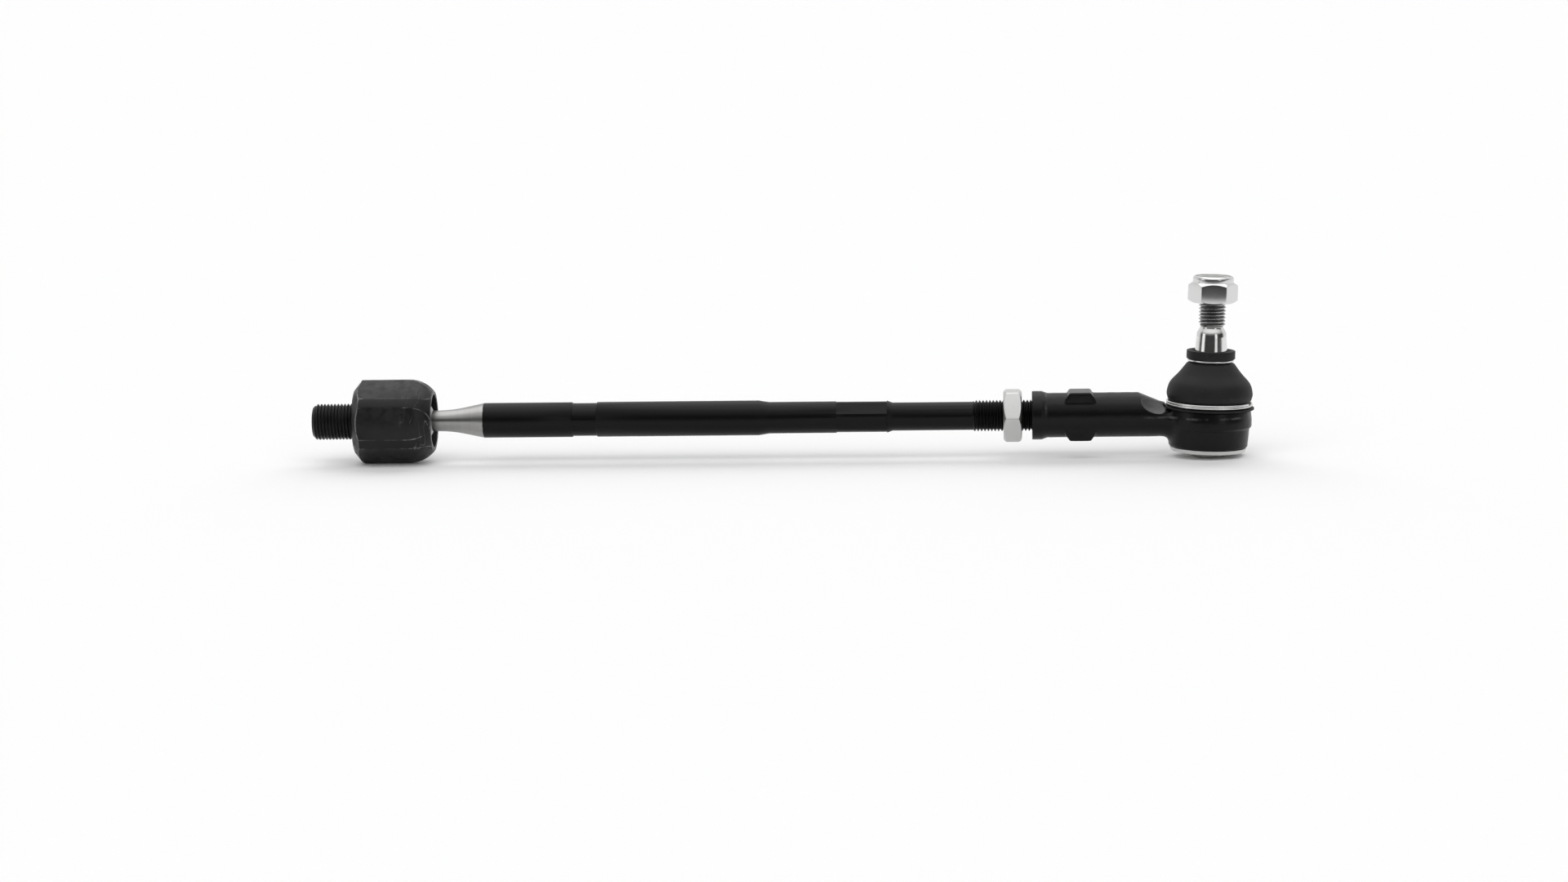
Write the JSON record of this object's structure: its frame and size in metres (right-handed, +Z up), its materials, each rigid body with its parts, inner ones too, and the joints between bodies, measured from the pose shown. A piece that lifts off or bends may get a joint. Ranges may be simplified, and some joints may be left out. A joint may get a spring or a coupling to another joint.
{
  "type": "tie rod",
  "caption": "Steering tie rod with an axial inner ball joint, lock nut, adjustable rod end, rubber boot and tapered ball stud with nut.",
  "frame": {"origin": "on the rod's axis at the shoulder where the rack thread meets the inner socket", "axes": "+X along the rod towards the outer joint, +Z up along the ball stud, +Y away from the picture's camera"},
  "size_m": [0.4179, 0.0394, 0.0801],
  "materials": {
    "phosphated_steel": "dark grey phosphate coat on forged steel, light worn edges",
    "black_rod": "satin black paint on the rod, bare ground steel at the ball and neck",
    "black_forging": "semi-gloss black paint on a drop forging",
    "zinc_nut": "satin zinc plate",
    "bright_zinc": "bright zinc plate",
    "zinc_plate": "pressed sheet, satin zinc plate",
    "spring_wire": "bright drawn spring wire",
    "ground_steel": "ground and rolled bare steel",
    "boot_rubber": "matt black moulded rubber",
    "seat_plastic": "moulded acetal",
    "insert_plastic": "moulded nylon"
  },
  "bodies": {
    "rod": {"tie_rod_shaft": "black_rod"},
    "inner_seat": {"inner_ball_seat": "seat_plastic"},
    "socket": {"inner_socket": "phosphated_steel"},
    "lock_nut": {"lock_nut": "zinc_nut"},
    "rod_end": {"rod_end_housing": "black_forging", "outer_ball_seat": "seat_plastic", "cover_plate": "zinc_plate", "lower_boot_clip": "spring_wire", "dust_boot": "boot_rubber"},
    "boot_collar": {"upper_boot_clip": "spring_wire"},
    "stud": {"ball_stud": "ground_steel"},
    "stud_nut": {"stud_nut": "bright_zinc", "stud_nut_insert": "insert_plastic"}
  },
  "joints": [
    {"name": "inner_swing", "type": "hinge", "parent": "rod", "child": "inner_seat", "pos_m": [0.023, 0, 0], "axis": [0, 1, 0], "range_deg": [-22, 22]},
    {"name": "inner_spin", "type": "hinge", "parent": "inner_seat", "child": "socket", "pos_m": [0.023, 0, 0], "axis": [1, 0, 0], "continuous": true},
    {"name": "lock_nut_travel", "type": "slide", "parent": "rod", "child": "lock_nut", "axis": [1, 0, 0], "range_m": [-0.0115, 0.0042]},
    {"name": "rod_end_adjust", "type": "slide", "parent": "rod", "child": "rod_end", "axis": [1, 0, 0], "range_m": [0, 0.012]},
    {"name": "stud_swing", "type": "hinge", "parent": "rod_end", "child": "boot_collar", "pos_m": [0.37888, 0, -0.0035], "axis": [0, 1, 0], "range_deg": [-25, 25], "deforming": ["dust_boot"]},
    {"name": "stud_spin", "type": "hinge", "parent": "boot_collar", "child": "stud", "pos_m": [0.37888, 0, -0.0035], "axis": [0.0349, 0, 0.9994], "continuous": true},
    {"name": "stud_nut_travel", "type": "slide", "parent": "stud", "child": "stud_nut", "axis": [0.0349, 0, 0.9994], "range_m": [-0.0098, 0.0115]}
  ]
}
